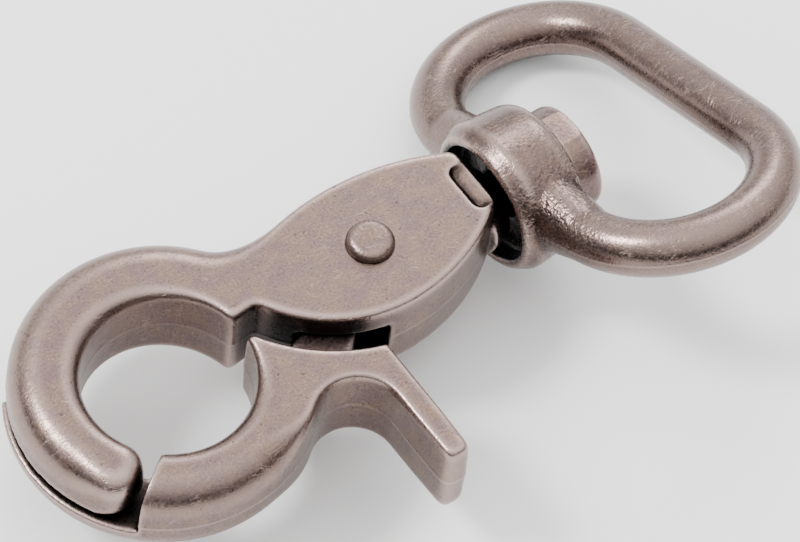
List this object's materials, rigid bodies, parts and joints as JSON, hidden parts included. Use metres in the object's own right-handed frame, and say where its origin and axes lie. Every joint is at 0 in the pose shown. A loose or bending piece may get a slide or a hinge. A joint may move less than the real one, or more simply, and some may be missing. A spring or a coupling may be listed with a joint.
{
  "type": "scissor snap hook",
  "caption": "Die-cast snap hook with a round eye, a thumb-lever gate that opens like scissors, and a swivelling D-shaped webbing ring.",
  "frame": {"origin": "centre of the hook's eye at mid thickness", "axes": "+X along the hook towards the swivel ring, -Y towards the thumb lever, +Z square to the cheeks"},
  "size_m": [0.0577, 0.0323, 0.0154],
  "materials": {
    "body_casting": "satin gunmetal plating on zinc casting",
    "lever_casting": "satin gunmetal plating on zinc casting",
    "rivet": "satin gunmetal plating, hammered head",
    "spring": "plain spring wire",
    "post": "satin gunmetal plating, worn facets",
    "ring_casting": "satin gunmetal plating on zinc casting"
  },
  "bodies": {
    "body": {"hook_body": "body_casting", "pivot_rivet": "rivet", "lever_spring": "spring", "swivel_post": "post"},
    "lever": {"trigger_lever": "lever_casting"},
    "ring": {"swivel_ring": "ring_casting"}
  },
  "joints": [
    {"name": "lever_pivot", "type": "hinge", "parent": "body", "child": "lever", "pos_m": [0.0171, 0.00075, 0], "axis": [0, 0, 1], "range_deg": [0, 22], "stiffness_Nm_per_rad": 0.15, "springref_deg": -17.19, "deforming": ["lever_spring"]},
    {"name": "ring_swivel", "type": "hinge", "parent": "body", "child": "ring", "pos_m": [0.0375, 0.00075, 0], "axis": [1, 0, 0], "continuous": true}
  ]
}
